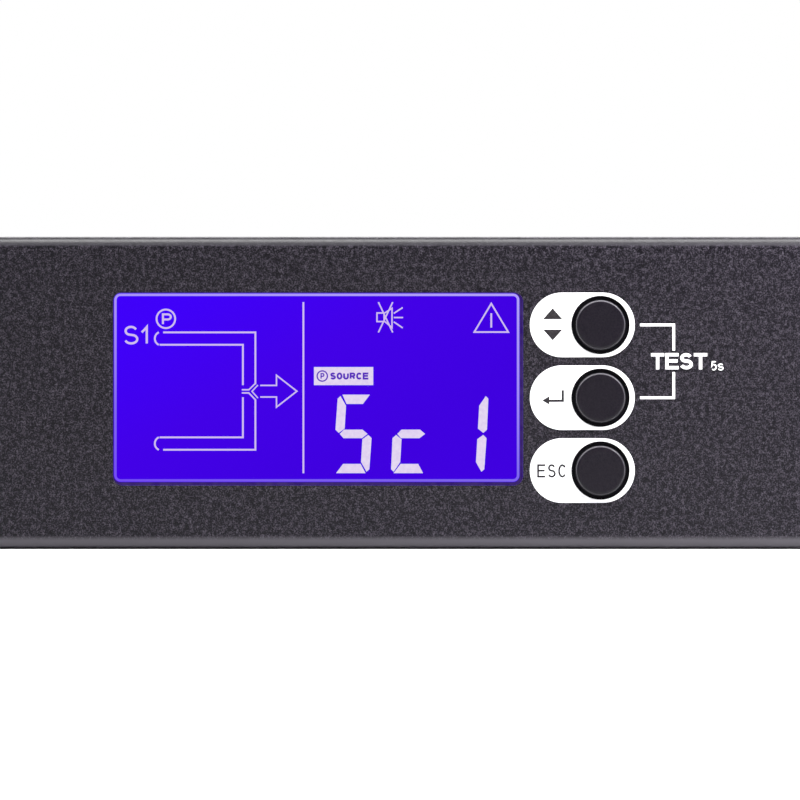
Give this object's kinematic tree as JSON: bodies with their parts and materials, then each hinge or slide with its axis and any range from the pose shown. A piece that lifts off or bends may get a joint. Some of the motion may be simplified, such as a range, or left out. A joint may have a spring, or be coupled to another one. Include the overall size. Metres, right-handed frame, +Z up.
{
  "type": "rack static transfer switch",
  "caption": "Flat black sheet-metal rack unit with a lit display and round keys in front, power inlets, outlets and breakers at the rear, and slotted rack ears.",
  "frame": {"origin": "middle of the underside of the case", "axes": "+X to the right seen from the front, +Y from front to rear, +Z up"},
  "size_m": [0.4826, 0.2419, 0.0437],
  "materials": {
    "case_paint": "fine texture black powder coat",
    "black_screws": "black zinc",
    "white_ink": "screen-printed white ink",
    "clear_lens": "clear moulded acrylic",
    "display_glass": "blue liquid crystal cell",
    "light_box": "white moulded light box",
    "circuit_board": "green solder mask",
    "bright_screws": "bright zinc",
    "guide_plastic": "black, satin",
    "key_plastic": "black, satin",
    "switch_plastic": "black",
    "plunger_plastic": "ivory",
    "socket_plastic": "black moulded nylon",
    "pin_metal": "plated brass",
    "tinned_tabs": "tinned",
    "copper_bar": "bare copper",
    "breaker_plastic": "black moulded",
    "nickel_nut": "nickel plated",
    "reset_plastic": "off-white",
    "port_shell": "tin plated",
    "brass_stud": "yellow passivated",
    "liner_film": "insulating film",
    "sink_aluminium": "extruded, plain",
    "thyristor_body": "moulded epoxy",
    "relay_case": "blue moulded case",
    "transformer_core": "ferrite and winding",
    "capacitor_sleeve": "dark blue sleeve",
    "wire_insulation": "brown insulation"
  },
  "bodies": {
    "case": {"base_tray": "case_paint", "top_cover": "case_paint", "rack_ear_left": "case_paint", "rack_ear_right": "case_paint", "ear_screws": "black_screws", "cover_screws": "black_screws", "panel_print": "white_ink", "display_lens": "clear_lens", "display_cell": "display_glass", "display_backlight": "light_box", "display_board": "circuit_board", "display_standoffs": "bright_screws", "display_screws": "bright_screws", "key_guide": "guide_plastic", "key_switches": "switch_plastic", "inlet_a": "socket_plastic", "inlet_b": "socket_plastic", "inlet_pins_a": "pin_metal", "inlet_pins_b": "pin_metal", "outlet_1": "socket_plastic", "outlet_2": "socket_plastic", "outlet_3": "socket_plastic", "outlet_4": "socket_plastic", "outlet_5": "socket_plastic", "outlet_6": "socket_plastic", "outlet_7": "socket_plastic", "outlet_8": "socket_plastic", "outlet_large": "socket_plastic", "outlet_tabs": "tinned_tabs", "live_bar": "copper_bar", "neutral_bar": "copper_bar", "earth_bar": "copper_bar", "breaker_a": "breaker_plastic", "breaker_b": "breaker_plastic", "breaker_nuts": "nickel_nut", "serial_port": "port_shell", "usb_port": "port_shell", "port_jackscrews": "nickel_nut", "earth_stud": "brass_stud", "earth_nut": "brass_stud", "floor_liner": "liner_film", "power_board": "circuit_board", "board_standoffs": "bright_screws", "board_screws": "bright_screws", "heatsink_a": "sink_aluminium", "heatsink_b": "sink_aluminium", "thyristors": "thyristor_body", "thyristor_screws": "bright_screws", "relays": "relay_case", "supply_transformers": "transformer_core", "capacitors": "capacitor_sleeve", "wiring": "wire_insulation"},
    "key_1": {"key_up_down": "key_plastic", "plunger_up_down": "plunger_plastic"},
    "key_2": {"key_enter": "key_plastic", "plunger_enter": "plunger_plastic"},
    "key_3": {"key_escape": "key_plastic", "plunger_escape": "plunger_plastic"},
    "breaker_reset_a": {"reset_a": "reset_plastic"},
    "breaker_reset_b": {"reset_b": "reset_plastic"}
  },
  "joints": [
    {"name": "up_down_press", "type": "slide", "parent": "case", "child": "key_1", "axis": [0, 1, 0], "range_m": [0, 0.0004], "stiffness_N_per_m": 1500, "springref_m": -0.0004},
    {"name": "enter_press", "type": "slide", "parent": "case", "child": "key_2", "axis": [0, 1, 0], "range_m": [0, 0.0004], "stiffness_N_per_m": 1500, "springref_m": -0.0004},
    {"name": "escape_press", "type": "slide", "parent": "case", "child": "key_3", "axis": [0, 1, 0], "range_m": [0, 0.0004], "stiffness_N_per_m": 1500, "springref_m": -0.0004},
    {"name": "breaker_a_reset", "type": "slide", "parent": "case", "child": "breaker_reset_a", "axis": [0, 1, 0], "range_m": [0, 0.004]},
    {"name": "breaker_b_reset", "type": "slide", "parent": "case", "child": "breaker_reset_b", "axis": [0, 1, 0], "range_m": [0, 0.004]}
  ]
}
